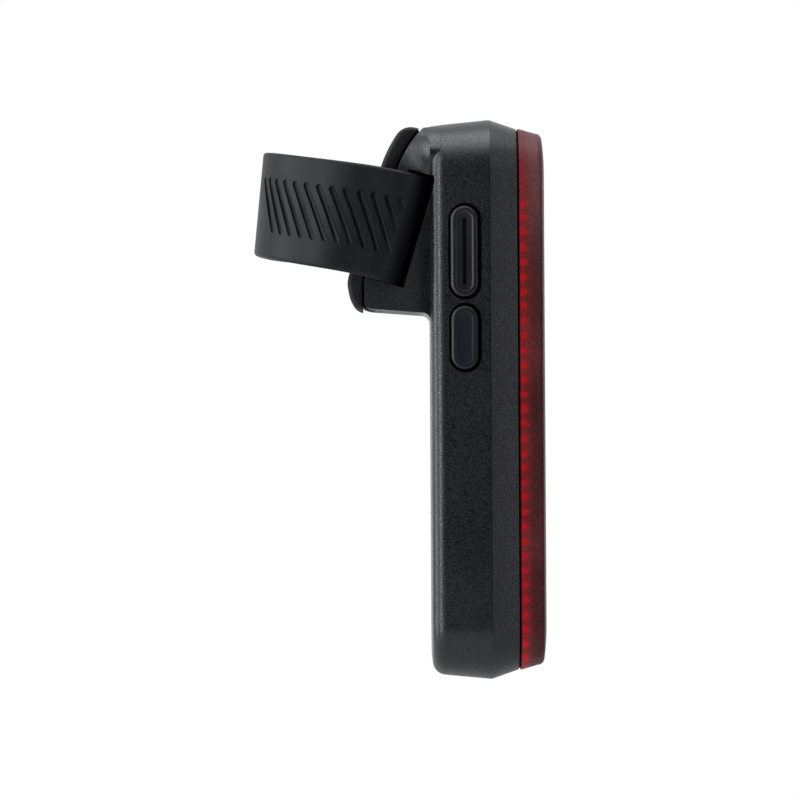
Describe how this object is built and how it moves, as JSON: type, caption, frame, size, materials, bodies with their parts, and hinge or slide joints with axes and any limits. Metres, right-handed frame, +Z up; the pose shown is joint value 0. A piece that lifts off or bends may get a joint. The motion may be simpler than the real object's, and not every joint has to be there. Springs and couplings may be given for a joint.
{
  "type": "bike rear light",
  "caption": "Upright bike rear light with a red lens, a side button, a covered charging port and a rubber strap that hooks round a leaning seatpost.",
  "frame": {"origin": "on the seatpost axis, at the middle of the saddle pad", "axes": "+Z up, +X towards the lens, the controls face -Y"},
  "size_m": [0.0538, 0.038, 0.1],
  "materials": {
    "shell_plastic": "fine moulded spark texture, black",
    "lens_red": "translucent red, light frosting",
    "seal_rubber": "dark seal in the lens seam",
    "reflector_silver": "vacuum metallised cups",
    "guide_red": "ribbed red light guide",
    "led_resin": "clear resin over phosphor",
    "led_board_white": "white solder mask",
    "spreader_aluminium": "rolled sheet",
    "chassis_plastic": "moulded",
    "screw_steel": "zinc plated",
    "board_green": "green solder mask",
    "chip_black": "moulded package",
    "socket_steel": "plated shell",
    "switch_grey": "moulded",
    "plug_cream": "nylon",
    "cell_wrap": "heat-shrink film",
    "foam_grey": "closed-cell foam",
    "lead_insulation": "silicone insulation",
    "button_rubber": "smooth moulded rubber",
    "cover_rubber": "smooth moulded rubber",
    "pad_rubber": "matt moulded rubber",
    "strap_rubber": "matt elastic silicone",
    "pin_steel": "drawn steel"
  },
  "bodies": {
    "light": {"housing": "shell_plastic", "lens": "lens_red", "lens_seal": "seal_rubber", "reflector": "reflector_silver", "light_guide": "guide_red", "leds": "led_resin", "led_board": "led_board_white", "heat_spreader": "spreader_aluminium", "chassis": "chassis_plastic", "chassis_screws": "screw_steel", "main_board": "board_green", "chips": "chip_black", "usb_socket": "socket_steel", "tact_switch": "switch_grey", "lead_plug": "plug_cream", "board_link": "chip_black", "battery": "cell_wrap", "battery_pad": "foam_grey", "battery_leads": "lead_insulation", "port_tether": "cover_rubber", "saddle_pad": "pad_rubber", "strap_band": "strap_rubber", "strap_pin": "pin_steel"},
    "power_button": {"power_button": "button_rubber"},
    "port_cover": {"port_cover": "cover_rubber"},
    "strap_tail": {"strap_tail": "strap_rubber"}
  },
  "joints": [
    {"name": "power_press", "type": "slide", "parent": "light", "child": "power_button", "axis": [0, 1, 0], "range_m": [0, 0.0008], "stiffness_N_per_m": 1500},
    {"name": "port_cover_hinge", "type": "hinge", "parent": "light", "child": "port_cover", "pos_m": [0.0229, -0.01897, 0.00285], "axis": [-1, 0, 0], "range_deg": [0, 100]},
    {"name": "strap_unhook", "type": "hinge", "parent": "light", "child": "strap_tail", "pos_m": [-0.01374, 0, 0.00642], "axis": [-0.2874, 0, -0.9578], "range_deg": [0, 75], "stiffness_Nm_per_rad": 0.02}
  ]
}
